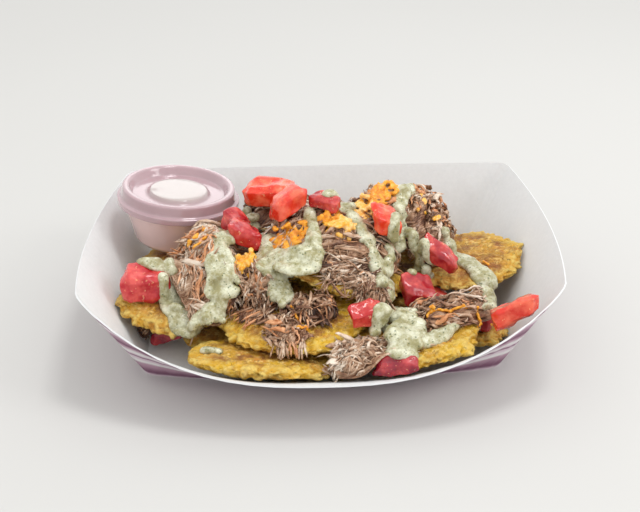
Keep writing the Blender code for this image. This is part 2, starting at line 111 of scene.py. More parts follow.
# meat that spills out beyond its heap: x, y, reach, bundles
SPILLS = {
    "meat_mid_left": [(-38, -52, 5, 10), (-31, -58, 6, 14), (-36, -59, 4, 6)],
    "meat_centre": [(18, -50, 8, 14), (8, -48, 7, 8)],
    "meat_low_right": [(50, -62, 6, 8), (76, -58, 5, 6)],
    "meat_front": [(38, -84, 6, 8), (12, -92, 6, 6)],
}
CORE_SINK = 2.4  # how far a core lies below its solid's upper side
FLAKE_RINGS = 7
FLAKE_SIDES = 7
CHUNK = 4  # flakes that lie together
CHUNK_LIFT = 0.5  # of each flake over the one before it
STRAND_RINGS = 7
STRAND_SIDES = 4
BUNDLE = 6  # strands that lie together
# degrees by which chunks of flakes, bundles of strands and spilled bundles stray from their heap's ways
FLAKE_STRAY = 30
STRAND_STRAY = 35
SPILLED_STRAY = 80
HANGING_SHARE = 0.42  # of a heap's height, below which its strands slide off and hang
CLEAR_OF_GROUND = 0.3
TONE_LENGTH = 9.0  # over which the meat's tone changes
NEAR_SAUCE = 1.3
COVERED_RINGS = 3  # near the sauce, from which on a strand is left out
# a strand of meat before it is shown
Strand = namedtuple("Strand", "path normals radius tone orange")

# ---- sauce: x, y, width
SAUCE = {
    "left": [
        (-53, -6, 7), (-50, -22, 10), (-50, -32, 12), (-50, -42, 14),
        (-49, -52, 16), (-49, -57, 14), (-53, -62, 8),
    ],
    "left_pool": [
        (-78, -29, 6), (-77, -36, 10), (-75, -43, 12), (-72, -50, 15),
        (-66, -57, 16), (-58, -61, 16), (-51, -61, 11),
    ],
    "back_left": [
        (-41, 18, 5), (-38, 11, 7), (-35, 3, 9), (-32, -7, 11),
        (-28, -14, 13), (-27, -22, 11), (-28, -30, 11),
    ],
    "blob_stream": [(-6, -8, 6), (-4, -20, 7), (-3, -30, 7), (-3, -40, 9), (-3, -46, 9)],
    "blob": [(-31, -33, 13), (-25, -40, 18), (-17, -45, 22), (-9, -48, 23), (-1, -48, 20)],
    "blob_top": [(-29, -33, 12), (-19, -40, 14), (-9, -44, 14), (0, -45, 10)],
    "blob_drip": [(-21, -46, 17), (-20, -53, 14), (-19, -59, 10), (-20, -62, 6)],
    "middle": [(15, -14, 6), (20, -24, 8), (24, -30, 9), (27, -36, 9), (30, -44, 8), (31, -54, 7)],
    "right": [
        (50, 18, 7), (45, 4, 9), (43, -8, 8), (42, -14, 7),
        (38, -26, 7), (35, -35, 7), (34, -44, 9), (35, -55, 9),
    ],
    "right_low": [
        (36, -50, 9), (38, -57, 13), (39, -66, 17), (40, -76, 20),
        (39, -86, 20), (37, -95, 16), (36, -99, 10),
    ],
    "loops": [
        (45, -10, 5), (50, -15, 6), (55, -22, 5), (55, -27, 5),
        (51, -25, 5), (49, -31, 6), (47, -36, 6),
    ],
    "far_right": [(67, -3, 7), (73, -3, 8), (79, -10, 10), (84, -22, 12), (88, -31, 11), (89, -34, 8)],
    "far_right_low": [(84, -46, 8), (85, -53, 10), (84, -60, 8)],
    "far_right_end": [(84, -68, 8), (84, -73, 10), (83, -79, 10)],
    "tomato_left": [(-93, -30, 6), (-87, -31, 9), (-81, -34, 8)],
    "tomato_left_low": [(-80, -40, 6), (-79, -46, 6)],
    "top": [(4, -12, 6), (10, -9, 8), (17, -7, 9)],
    "front_left": [(-56, -83, 7), (-49, -85, 6)],
    "low_right": [(43, -88, 12), (50, -85, 12), (57, -82, 9), (64, -78, 5)],
    "front": [(24, -78, 6), (29, -72, 8), (34, -70, 8)],
}
# a flat round drop on a surface
Drop = namedtuple("Drop", "place normal radius thick tone", defaults=[0.0])
DROP_RADIUS = 2.6  # of the sauce's widest drops
DROP_SPACING = 2.0  # across the stream
BRIDGE_REACH = 6  # points of a stream to each side, over which it fills a dip
FAR_DOWN = 4.0  # from the stream to what it lies on, where it hangs free
SAUCE_VOXEL = 0.6
SAUCE_SMOOTHING = 26
BARE = ("tomato_02", "tomato_03", "tomato_10")  # tomatoes that no sauce runs over

# ---- melted cheese
# x, y, reach, shreds, tone from 0 deep orange to 1 pale
CHEESE = [
    (-22, -16, 6, 26, 0.3),
    (-14, -28, 9, 74, 0.2),
    (-21, -25, 5, 20, 0.1),
    (-2, -16, 5, 22, 0.2),
    (5, -20, 7, 46, 0.3),
    (12, -26, 7, 40, 0.8),
    (10, -29, 6, 26, 0.6),
    (32, -2, 6, 50, 0.1),
    (22, -8, 7, 36, 0.8),
    (37, 4, 6, 24, 0.4),
    (52, 8, 8, 6, 0.8),
    (57, -2, 7, 4, 0.6),
    (-38, -36, 5, 60, 0.6),
    (-38, -43, 4, 36, 0.5),
    (-62, -30, 5, 9, 0.3),
]
CHEESE_VOXEL = 0.52
CHEESE_SMOOTHING = 4
DROP_STEP = 0.9  # along a stream of sauce or a shred of cheese
# loose shreds of cheese by the points that they pass over: x, y
LOOSE_CHEESE = [
    [(52, -69), (57, -67), (63, -66), (69, -66), (75, -66), (77, -70), (79, -78)],
    [(-19, -61), (-16, -63), (-13, -66), (-10, -72)],
    [(-10, -73), (-7, -77), (-12, -79)],
    [(88, -12), (90, -16)],
]

# ---- tray print
WHITE = (0.8, 0.79, 0.78)
LILAC = (0.66, 0.53, 0.6)
PINK = (0.46, 0.29, 0.37)
PLUM = (0.2, 0.085, 0.145)
# colours of the outside by height above the base fold, in millimetres
STRIPES = [
    (0.0, LILAC), (2.5, PLUM), (9.5, PINK), (12, WHITE), (15.5, LILAC), (17, PLUM), (18, LILAC),
    (20, WHITE), (24, PINK), (26, PLUM), (33, PINK), (35, LILAC), (38, WHITE), (41, PINK),
    (43.5, PLUM), (45, LILAC), (47.5, WHITE), (50, PLUM), (51, WHITE),
]
STRIPES_END = 60

# ---- cup
CUP_LEAN = math.radians(6.5)
GLARE_RADIUS = 16.5  # of the lid's pale middle, a painted highlight that stands for the glare on its flat disc
GLARE_BLUR = 2.5  # to each side of that radius
CUP_STEPS = 28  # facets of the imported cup, which make_round() makes round


# ---- small mathematics
def lattice(cells, seed):
    """Repeatable pseudo-random unit gradients for integer lattice cells."""
    n = cells[..., 0] * 374761393 + cells[..., 1] * 668265263 + cells[..., 2] * 2147483647 + seed * 144269504
    n = (n ^ (n >> 13)) * 1274126177
    n = n ^ (n >> 16)
    a = (n & 0xFFFF) / 65535.0 * 2 * math.pi
    z = ((n >> 16) & 0xFFFF) / 65535.0 * 2 - 1
    r = np.sqrt(np.maximum(1 - z * z, 0))
    return np.stack([r * np.cos(a), r * np.sin(a), z], -1)


def noise(points, wavelength, seed):
    """Smooth gradient noise of about -1 to 1 at points in millimetres."""
    p = np.asarray(points) / wavelength
    base = np.floor(p).astype(np.int64)
    f = p - base
    fade = f * f * f * (f * (f * 6 - 15) + 10)
    total = 0.0
    for corner in np.ndindex(2, 2, 2):
        c = np.array(corner)
        weight = np.prod(np.where(c == 1, fade, 1 - fade), axis=-1)
        total = total + weight * np.sum(lattice(base + c, seed) * (f - c), axis=-1)
    return total * 1.6


def billow(points, wavelength, seed):
    """Rounded lumps of 0 to about 1 with creases between them."""
    return abs(noise(points, wavelength, seed)) * 1.6


def smoothstep(low, high, x):
    t = np.clip((x - low) / (high - low), 0, 1)
    return t * t * (3 - 2 * t)


def unit(v):
    return v / np.maximum(np.linalg.norm(v, axis=-1, keepdims=True), 1e-9)


def resampled(line, step):
    """A polyline's points, evenly spaced."""
    along = np.concatenate([[0], np.cumsum(np.linalg.norm(np.diff(line[:, :3], axis=0), axis=1))])
    at = np.linspace(0, along[-1], max(int(along[-1] / step) + 1, 3))
    return np.column_stack([np.interp(at, along, line[:, k]) for k in range(line.shape[1])])


def curved(controls):
    """A smooth curve through control points, as a polyline."""
    p = np.asarray(controls, float)
    p = np.vstack([2 * p[0] - p[1], p, 2 * p[-1] - p[-2]])
    out = []
    for k in range(1, len(p) - 2):
        a, b, c, d = p[k - 1:k + 3]
        for t in np.linspace(0, 1, 12, endpoint=False):
            bend = (2 * a - 5 * b + 4 * c - d) * t ** 2 + (3 * b - a - 3 * c + d) * t ** 3
            out.append(0.5 * (2 * b + (c - a) * t + bend))
    out.append(p[-2])
    return np.array(out)


# ---- meshes
def node_surface(name):
    """A CAD node's points in millimetres and its triangles, with split corners joined again."""
    work = bmesh.new()
    work.from_mesh(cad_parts[name].data)
    bmesh.ops.remove_doubles(work, verts=work.verts, dist=1e-6)
    bmesh.ops.recalc_face_normals(work, faces=work.faces)
    bmesh.ops.triangulate(work, faces=work.faces)
    work.verts.index_update()
    points = np.array([v.co for v in work.verts]) / MM
    triangles = np.array([[v.index for v in f.verts] for f in work.faces])
    work.free()
    return points, triangles


def filled_mesh(name, points, triangles):
    mesh = bpy.data.meshes.new(name)
    mesh.vertices.add(len(points))
    mesh.vertices.foreach_set("co", (np.asarray(points) * MM).astype(np.float32).ravel())
    mesh.loops.add(len(triangles) * 3)
    mesh.loops.foreach_set("vertex_index", np.asarray(triangles, np.int32).ravel())
    mesh.polygons.add(len(triangles))
    mesh.polygons.foreach_set("loop_start", np.arange(len(triangles), dtype=np.int32) * 3)
    mesh.update(calc_edges=True)
    mesh.validate()
    return mesh


def worked(points, triangles, *modifiers):
    """The points, normals and triangles of a mesh after these modifiers, each (kind, settings)."""
    mesh = filled_mesh("work", points, triangles)
    obj = bpy.data.objects.new("work", mesh)
    bpy.context.scene.collection.objects.link(obj)
    for kind, settings in modifiers:
        made = obj.modifiers.new(kind, kind)
        for key, value in settings.items():
            setattr(made, key, value)
    bpy.context.view_layer.update()
    result = obj.evaluated_get(bpy.context.evaluated_depsgraph_get())
    out = result.to_mesh()
    out.calc_loop_triangles()
    co = np.empty(len(out.vertices) * 3, np.float32)
    normals = np.empty(len(out.vertices) * 3, np.float32)
    corners = np.empty(len(out.loop_triangles) * 3, np.int32)
    out.vertices.foreach_get("co", co)
    out.vertices.foreach_get("normal", normals)
    out.loop_triangles.foreach_get("vertices", corners)
    result.to_mesh_clear()
    bpy.data.objects.remove(obj)
    bpy.data.meshes.remove(mesh)
    return co.reshape(-1, 3).astype(float) / MM, normals.reshape(-1, 3).astype(float), corners.reshape(-1, 3)


def subdivision(levels, kind="CATMULL_CLARK"):
    return "SUBSURF", {"levels": levels, "render_levels": levels, "subdivision_type": kind}


def bevel(width, angle):
    limit = {"limit_method": "ANGLE", "angle_limit": math.radians(angle)}
    return "BEVEL", {"width": width * MM, "segments": 2, **limit}


def piece(name, points, triangles, material, attributes=None, replaces=()):
    """A finished mesh that rides on the body, with float attributes on its points."""
    points = np.array(points, float)
    points[:, 2] = np.clip(points[:, 2], 0.1, TOP)
    mesh = filled_mesh(name, points, triangles)
    for key, values in (attributes or {}).items():
        made = mesh.attributes.new(key, "FLOAT", "POINT")
        made.data.foreach_set("value", np.broadcast_to(values, len(points)).astype(np.float32))
    mesh.shade_smooth()
    mesh.materials.append(material)
    obj = bpy.data.objects.new(name, mesh)
    bpy.context.scene.collection.objects.link(obj)
    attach(obj, "root")
    if replaces:
        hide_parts(*replaces)


def joined(parts):
    """Several (points, triangles, attributes) as one."""
    points, triangles, start = [], [], 0
    attributes = {key: [] for key in parts[0][2]}
    for part_points, part_triangles, part_attributes in parts:
        points.append(part_points)
        triangles.append(part_triangles + start)
        start += len(part_points)
        for key, values in part_attributes.items():
            attributes[key].append(values)
    joined_attributes = {key: np.concatenate(values) for key, values in attributes.items()}
    return np.concatenate(points), np.concatenate(triangles), joined_attributes


# ---- materials
class Nodes:
    """A material's node tree, with short ways to add to it."""

    def __init__(self, name):
        self.material = bpy.data.materials.new(name)
        self.material.use_nodes = True
        self.tree = self.material.node_tree
        self.shader = self.tree.nodes["Principled BSDF"]

    def add(self, kind, **settings):
        node = self.tree.nodes.new("ShaderNode" + kind)
        for key, value in settings.items():
            setattr(node, key, value)
        return node

    def feed(self, sockets, values):
        """Sets each socket to a number or a colour, or links it to another node's output."""
        for socket, value in zip(sockets, values):
            if isinstance(value, tuple):
                socket.default_value = (*value, 1.0)
            elif isinstance(value, (int, float)):
                socket.default_value = value
            else:
                self.tree.links.new(value, socket)

    def set(self, **values):
        for key, value in values.items():
            self.shader.inputs[key.replace("_", " ")].default_value = value

    def place(self):
        """Object coordinates in metres, which are the frame's own."""
        return self.add("TexCoord").outputs["Object"]

    def value(self, name):
        return self.add("Attribute", attribute_name=name).outputs["Fac"]

    def noise(self, size, detail=4.0, rough=0.6, distort=0.0, at=None, unit_size=MM):
        """Noise whose features are about size millimetres."""
        node = self.add("TexNoise")
        sockets = [node.inputs[k] for k in ("Vector", "Scale", "Detail", "Roughness", "Distortion")]
        self.feed(sockets, (at or self.place(), 1 / (size * unit_size), detail, rough, distort))
        return node.outputs["Fac"]

    def fibres(self, size, length):
        """Noise drawn out along the fibres that the attributes u and v follow."""
        node = self.add("CombineXYZ")
        along = self.math("DIVIDE", self.value("v"), length)
        self.feed(node.inputs, (self.value("u"), along, 0.0))
        return self.noise(size, 3, 0.6, at=node.outputs["Vector"], unit_size=1)

    def cells(self, size):
        node = self.add("TexVoronoi")
        self.feed([node.inputs["Vector"], node.inputs["Scale"]], (self.place(), 1 / (size * MM)))
        return node.outputs["Distance"]

    def range(self, source, low, high, to_low=0.0, to_high=1.0):
        node = self.add("MapRange")
        sockets = [node.inputs[k] for k in ("Value", "From Min", "From Max", "To Min", "To Max")]
        self.feed(sockets, (source, low, high, to_low, to_high))
        return node.outputs["Result"]

    def math(self, operation, a, b):
        node = self.add("Math", operation=operation)
        self.feed(node.inputs, (a, b))
        return node.outputs["Value"]

    def plus(self, a, b):
        return self.math("ADD", a, b)

    def times(self, a, b):
        return self.math("MULTIPLY", a, b)

    def mix(self, factor, a, b):
        """Colour a, turning to colour b as factor goes to 1."""
        node = self.add("Mix", data_type="RGBA")
        self.feed((node.inputs[0], node.inputs[6], node.inputs[7]), (factor, a, b))
        return node.outputs[2]

    def ramp(self, factor, stops, steps="LINEAR"):
        node = self.add("ValToRGB")
        elements = node.color_ramp.elements
        node.color_ramp.interpolation = steps
        while len(elements) < len(stops):
            elements.new(0.5)
        for element, (position, colour) in zip(elements, stops):
            element.position = position
            element.color = (*colour, 1.0)
        self.feed([node.inputs["Fac"]], [factor])
        return node.outputs["Color"]

    def split(self, vector, axis):
        node = self.add("SeparateXYZ")
        self.feed(node.inputs, [vector])
        return node.outputs[axis]

    def bump(self, height, depth):
        """depth is the height in millimetres that 1 stands for."""
        node = self.add("Bump")
        self.feed([node.inputs["Distance"], node.inputs["Height"]], (depth * MM, height))
        self.feed([self.shader.inputs["Normal"]], [node.outputs["Normal"]])

    def colour(self, output):
        self.feed([self.shader.inputs["Base Color"]], [output])

    def rough(self, output):
        self.feed([self.shader.inputs["Roughness"]], [output])

    def glow_through(self, weight, radius, scale):
        """Light that goes in and comes out again, scale in millimetres."""
        self.set(Subsurface_Weight=weight, Subsurface_Radius=radius, Subsurface_Scale=scale * MM)


def slice_material():
    n = Nodes("fried_plantain")
    crust = n.value("crust")
    lump = n.value("lump")
    patch = n.range(n.noise(22.0, 2, 0.5), 0.35, 0.65, -0.35, 0.35)
    yellow = n.plus(n.value("yellow"), patch)
    browned = n.value("browned")
    fine = n.noise(1.1, 4, 0.7)
    golden = n.mix(yellow, (0.62, 0.28, 0.05), (0.76, 0.45, 0.03))
    golden = n.mix(n.range(n.noise(7.0, 4, 0.6), 0.5, 0.66), golden, (0.76, 0.32, 0.06))
    # Painted highlights: pale specks at random that stand for small glints on the fried surface.
    pale = n.mix(n.range(n.noise(2.2, 4, 0.65), 0.5, 0.64), golden, (1.0, 0.74, 0.26))
    pale = n.mix(n.range(n.noise(1.8, 3, 0.6), 0.42, 0.3), pale, (0.3, 0.12, 0.022))
    brown_at = n.plus(n.range(n.noise(10.0, 6, 0.62), 0.42, 0.62), n.times(browned, 0.5))
    # Browning is drawn into the hollows between lumps, real browning with painted shade in the creases.
    brown_at = n.math("SUBTRACT", brown_at, n.times(lump, 0.5))
    body = n.mix(n.range(brown_at, 0.3, 1.0), pale, (0.34, 0.135, 0.04))
    edge = n.mix(yellow, (0.8, 0.36, 0.045), (0.97, 0.58, 0.025))
    # Painted highlight: the crust is made paler on the tops of its lumps.
    edge = n.mix(n.range(lump, 0.3, 0.75), edge, (1.0, 0.74, 0.2))
    body = n.mix(n.times(crust, 0.8), body, edge)
    toasted = n.range(n.noise(6.0, 4, 0.6, 0.4), 0.54, 0.64)
    toasted = n.times(toasted, n.range(browned, 0.0, 1.0, 0.3, 1.0))
    body = n.mix(n.times(toasted, 0.7), body, (0.36, 0.11, 0.022))
    # Painted shade: darker still where the lumps are lowest, in the creases between them.
    body = n.mix(n.range(lump, 0.22, 0.02, 0.0, 0.7), body, (0.24, 0.085, 0.018))
    spots = n.range(n.noise(1.7, 3, 0.6, 0.6), 0.63, 0.68)
    spots = n.times(spots, n.range(browned, 0.0, 1.0, 0.3, 0.8))
    body = n.mix(spots, body, (0.1, 0.035, 0.012))
    n.colour(body)
    n.rough(n.range(fine, 0.3, 0.7, 0.34, 0.6))
    n.set(Specular_IOR_Level=0.25, Coat_Weight=0.08, Coat_Roughness=0.2)
    n.bump(n.plus(n.noise(0.7, 3, 0.7), n.noise(1.9, 4, 0.65)), 1.3)
    return n.material


def meat_material():
    n = Nodes("pulled_meat")
    streak = n.fibres(0.75, 7.0)
    tone = n.plus(n.value("tone"), n.range(streak, 0.3, 0.7, -0.24, 0.24))
    tone = n.plus(tone, n.range(n.noise(3.0, 3, 0.6), 0.3, 0.7, -0.12, 0.12))
    stops = [
        (0.0, (0.045, 0.018, 0.01)),
        (0.22, (0.17, 0.07, 0.036)),
        (0.45, (0.37, 0.2, 0.11)),
        (0.7, (0.6, 0.41, 0.28)),
        (1.0, (0.82, 0.7, 0.57)),
    ]
    warm = n.mix(n.range(streak, 0.3, 0.7), (0.52, 0.17, 0.055), (0.88, 0.44, 0.2))
    n.colour(n.mix(n.value("orange"), n.ramp(tone, stops), warm))
    n.set(Roughness=0.38, Specular_IOR_Level=0.35, Coat_Weight=0.15, Coat_Roughness=0.15)
    n.bump(n.plus(streak, n.times(n.noise(0.8, 2, 0.6), 0.4)), 0.7)
    return n.material


def tomato_material():
    n = Nodes("tomato_flesh")
    hue = n.value("hue")
    deep = n.value("deep")
    # The flesh's own mottling, with painted light in it: the pink patches stand for highlights on lit
    # facets, and the dark mix below for painted shade.
    cloud = n.range(n.noise(6.0, 3, 0.5), 0.4, 0.64)
    red = n.mix(hue, (0.62, 0.004, 0.018), (0.93, 0.05, 0.006))
    pink = n.mix(hue, (0.84, 0.11, 0.1), (1.0, 0.21, 0.085))
    dark = n.mix(hue, (0.24, 0.006, 0.02), (0.46, 0.01, 0.008))
    body = n.mix(cloud, red, pink)
    body = n.mix(n.times(deep, n.range(cloud, 1.0, 0.0, 0.5, 1.0)), body, dark)
    seeds = n.times(n.range(n.noise(1.6, 2, 0.5), 0.66, 0.7), n.value("flesh"))
    n.colour(n.mix(n.times(seeds, 0.5), body, (0.9, 0.52, 0.26)))
    n.set(Roughness=0.25, Specular_IOR_Level=0.3, Coat_Weight=0.6, Coat_Roughness=0.04)
    n.glow_through(0.3, (1.0, 0.15, 0.08), 2.5)
    n.bump(n.noise(2.8, 3, 0.55), 0.5)
    return n.material


def cheese_material():
    n = Nodes("melted_cheese")
    tone = n.plus(n.value("tone"), n.range(n.noise(2.2, 3, 0.55), 0.3, 0.7, -0.35, 0.35))
    stops = [(0.0, (0.66, 0.22, 0.012)), (0.45, (0.9, 0.42, 0.03)), (1.0, (0.94, 0.62, 0.24))]
    n.colour(n.ramp(tone, stops))
    n.set(Roughness=0.3, Specular_IOR_Level=0.3, Coat_Weight=0.2, Coat_Roughness=0.12)
    n.glow_through(0.2, (1.0, 0.5, 0.15), 2.0)
    n.bump(n.noise(1.6, 3, 0.6), 0.5)
    return n.material


def sauce_material():
    n = Nodes("herb_sauce")
    # The sauce's own mottling, with painted light in it: it drifts between an olive shadow colour and a pale
    # sage highlight colour, painted shade and painted highlight.
    cloud = n.plus(n.noise(6.0, 4, 0.6), n.times(n.noise(1.5, 3, 0.7), 0.22))
    body = n.mix(n.range(cloud, 0.48, 0.74), (0.325, 0.295, 0.135), (0.66, 0.66, 0.49))
    leaf = n.plus(n.cells(1.9), n.range(n.noise(0.9, 2, 0.6), 0.3, 0.7, -0.12, 0.12))
    flecks = n.times(n.range(leaf, 0.26, 0.18), n.range(n.noise(3.4, 2, 0.5), 0.44, 0.52))
    body = n.mix(n.times(flecks, 0.85), body, (0.1, 0.13, 0.055))
    dust = n.range(n.noise(0.7, 2, 0.5), 0.6, 0.7, 0.0, 0.45)
    n.colour(n.mix(dust, body, (0.22, 0.24, 0.12)))
    n.set(Roughness=0.28, Specular_IOR_Level=0.35, Coat_Weight=0.25, Coat_Roughness=0.08)
    n.glow_through(0.12, (1.0, 0.9, 0.5), 2.0)
    n.bump(n.noise(2.2, 3, 0.55), 0.5)
    return n.material


def tray_material():
    """White board inside, with plum and pink stripes outside that run along the base fold."""
    n = Nodes("tray_board")
    height = n.times(n.split(n.place(), "Z"), 1 / MM / STRIPES_END)
    stripes = n.ramp(height, [(at / STRIPES_END, colour) for at, colour in STRIPES], "EASE")
    facing = n.split(n.add("NewGeometry").outputs["True Normal"], "Z")
    fibre = n.range(n.noise(2.5, 4, 0.6), 0.3, 0.7)
    inside = n.mix(fibre, (0.715, 0.725, 0.725), (0.755, 0.765, 0.765))
    n.colour(n.mix(n.range(facing, -0.15, -0.2), inside, stripes))
    n.rough(n.range(fibre, 0.0, 1.0, 0.55, 0.7))
    n.set(Specular_IOR_Level=0.3)
    n.bump(n.plus(n.noise(45.0, 2, 0.4), n.times(fibre, 0.02)), 1.5)
    return n.material


def plastic_material(name, colour, through):
    n = Nodes(name)
    cloud = n.range(n.noise(14.0, 2, 0.5), 0.35, 0.65)
    tint = n.mix(cloud, colour, tuple(c * 0.94 for c in colour))
    # The lid's pale middle is a painted highlight: a paler colour where the glare lies on its flat disc.
    n.colour(n.mix(n.value("frost"), tint, (0.61, 0.53, 0.49)))
    n.set(Roughness=0.13, IOR=1.45, Specular_IOR_Level=0.5, Transmission_Weight=through)
    n.set(Coat_Weight=1.0, Coat_Roughness=0.05)
    n.bump(n.noise(9.0, 2, 0.5), 0.12)
    return n.material


def dip_material():
    n = Nodes("pink_dip")
    n.colour(n.mix(n.range(n.noise(6.0, 3, 0.5), 0.35, 0.65), (0.8, 0.52, 0.47), (0.86, 0.6, 0.54)))
    n.set(Roughness=0.3)
    n.glow_through(0.2, (1.0, 0.6, 0.5), 2.0)
    n.bump(n.noise(4.0, 3, 0.5), 0.5)
    return n.material


# ---- camera, light and floor
def make_camera(scene):
    data = bpy.data.cameras.new("camera")
    data.lens = CAMERA_LENS
    data.sensor_width = CAMERA_SENSOR
    data.clip_start = 0.01
    camera = bpy.data.objects.new("camera", data)
    scene.collection.objects.link(camera)
    tilt = Matrix.Rotation(math.radians(CAMERA_TILT), 4, "X")
    roll = Matrix.Rotation(math.radians(CAMERA_ROLL), 4, "Z")
    camera.matrix_world = Matrix.Translation(CAMERA_PLACE) @ (tilt @ roll)
    scene.camera = camera


def make_light(scene):
    """An even white sky and soft lamps that face the food."""
    scene.view_settings.view_transform = "Standard"
    scene.world = bpy.data.worlds.new("studio")
    scene.world.use_nodes = True
    sky = scene.world.node_tree.nodes["Background"]
    sky.inputs["Color"].default_value = (1.0, 1.0, 1.0, 1.0)
    sky.inputs["Strength"].default_value = SKY_STRENGTH
    for name, (place, size, power) in LAMPS.items():
        lamp = bpy.data.lights.new(name, "AREA")
        lamp.size = size
        lamp.energy = power
        obj = bpy.data.objects.new(name, lamp)
        scene.collection.objects.link(obj)
        obj.location = place
        obj.rotation_euler = (-Vector(place)).to_track_quat("-Z", "Y").to_euler()


def make_floor(scene):
    n = Nodes("floor_paper")
    n.colour(n.mix(n.noise(400.0, 2, 0.4), (0.585, 0.58, 0.56), (0.6, 0.595, 0.575)))
    n.set(Roughness=0.8, Specular_IOR_Level=0.15)
    work = bmesh.new()
    bmesh.ops.create_grid(work, x_segments=2, y_segments=2, size=FLOOR_REACH)
    mesh = bpy.data.meshes.new("floor")
    work.to_mesh(mesh)
    work.free()
    mesh.materials.append(n.material)
    floor = bpy.data.objects.new("floor", mesh)
    scene.collection.objects.link(floor)


# ---- slices
def outline_reach(outward, reach):
    """How far the slice's outline is from its middle, in each point's direction."""
    across, along = np.linalg.svd(outward - outward.mean(0), full_matrices=False)[2][:2]
    turn = np.arctan2(outward @ along, outward @ across)
    sector = ((turn + math.pi) / (2 * math.pi) * SECTORS).astype(int) % SECTORS
    furthest = np.zeros(SECTORS)
    np.maximum.at(furthest, sector, reach)
    furthest = (np.roll(furthest, 1) + 2 * furthest + np.roll(furthest, -1)) / 4
    return np.maximum(furthest[sector], 1.0)


def make_slices(material):
    names = sorted(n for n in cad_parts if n.startswith("toston"))
    for index, name in enumerate(names):
        levels = HIDDEN_LEVELS if name in HIDDEN_SLICES else FINE_LEVELS
        points, normals, triangles = worked(*node_surface(name), subdivision(levels))
        middle = points.mean(0)
        axis = np.linalg.eigh(np.cov((points - middle).T))[1][:, 0]
        axis *= np.sign(axis[2])
        side = smoothstep(0.12, 0.7, 1 - abs(normals @ axis))
        level = (points - middle) @ axis
        outward = (points - middle) - level[:, None] * axis
        reach = np.linalg.norm(outward, axis=1)
        outward = unit(outward)
        edge = smoothstep(0.66, 0.92, reach / outline_reach(outward, reach))
        wide = noise(points, 13.0, index)
        coarse = 0.6 * billow(points, 8.0, index + 50) + 0.5 * billow(points, 4.6, index + 60)
        crumb = billow(points, 2.5, index + 90)
        lump = 0.55 * coarse + 0.65 * crumb
        out = side * (1.4 * wide + 2.4 * coarse + 0.9 * crumb - 1.4)
        dents = (0.9 + 1.1 * edge) * (coarse - 0.45) + 0.4 * wide + 0.65 * crumb - 0.35
        points = points + outward * out[:, None] + normals * dents[:, None]
        crust = np.clip(np.maximum(edge, side) * 1.05 + 0.35 * wide, 0, 1)
        yellow, browned = SLICE_TINTS.get(int(name[-2:]), PLAIN_TINT)
        attributes = {"crust": crust, "lump": lump, "yellow": yellow, "browned": browned}
        piece(name + "_fried", points, triangles, material, attributes, [name])


# ---- tomatoes
def make_tomatoes(material):
    for index, (hue, deep) in enumerate(TOMATO_LOOKS):
        name = f"tomato_{index + 1:02}"
        points, normals, triangles = worked(*node_surface(name), bevel(0.4, 18), subdivision(2))
        bumps = 1.4 * noise(points, 8.0, index + 300) + 0.5 * noise(points, 3.5, index + 330)
        points = points + normals * (bumps + 0.25)[:, None]
        skin = unit(np.array([math.cos(index * 2.4), math.sin(index * 2.4), 0.5]))
        flesh = 1 - smoothstep(0.4, 0.7, normals @ skin)
        attributes = {"hue": hue, "deep": deep, "flesh": flesh}
        piece(name + "_wet", points, triangles, material, attributes, [name])


# ---- cup and tray
def make_round(name, material):
    """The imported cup's parts are turned in few facets: the same shape, round and with soft edges."""
    points, triangles = node_surface(name)
    middle = points.mean(0)
    axis = np.array([math.sin(CUP_LEAN), 0, math.cos(CUP_LEAN)])
    east = np.array([math.cos(CUP_LEAN), 0, -math.sin(CUP_LEAN)])
    north = np.array([0.0, 1.0, 0.0])
    points, _normals, triangles = worked(points, triangles, bevel(0.35, 20), subdivision(2, "SIMPLE"))
    level = (points - middle) @ axis
    x, y = (points - middle) @ east, (points - middle) @ north
    facet = 2 * math.pi / CUP_STEPS
    off_middle = np.mod(np.arctan2(y, x), facet) - facet / 2
    rounder = np.cos(off_middle) / math.cos(facet / 2)
    points = middle + level[:, None] * axis + (x * rounder)[:, None] * east + (y * rounder)[:, None] * north
    # Painted highlight: the lid's middle is made pale where the glare lies on its flat disc.
    frost = smoothstep(GLARE_RADIUS + GLARE_BLUR, GLARE_RADIUS - GLARE_BLUR, np.hypot(x, y))
    piece(name + "_round", points, triangles, material, {"frost": frost * (name == "cup_lid")}, [name])


def recolour(name, material):
    """A CAD node whose own shape is right gets a better material."""
    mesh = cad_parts[name].data
    mesh.materials.clear()
    mesh.materials.append(material)


# ---- what lies on what
class Ground:
    """Finds the surface of what other pieces lie on."""

    def __init__(self, parts):
        points, triangles, _ = joined([(part[1], part[2], {}) for part in parts])
        self.tree = BVHTree.FromPolygons(points.tolist(), triangles.tolist())
        self.owner = [name for name, _points, part_triangles in parts for _ in part_triangles]

    def nearest(self, point):
        hit, normal, index, _ = self.tree.find_nearest(Vector(point))
        return np.array(hit), np.array(normal), self.owner[index]

    def height(self, x, y):
        """Height of the top surface, or nan where there is none."""
        hit, _normal, _index, _ = self.tree.ray_cast(Vector((x, y, 200.0)), Vector((0, 0, -1)))
        return np.nan if hit is None else hit[2]


def heap_frame(name):
    """The heap's middle, and the ways across and along its flakes."""
    low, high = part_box(name)
    turn = math.radians(MEAT[name].flake_way)
    along = np.array([math.cos(turn), math.sin(turn), 0.0])
    return (np.array(low) + np.array(high)) / 2 / MM, np.cross(UP, along), along


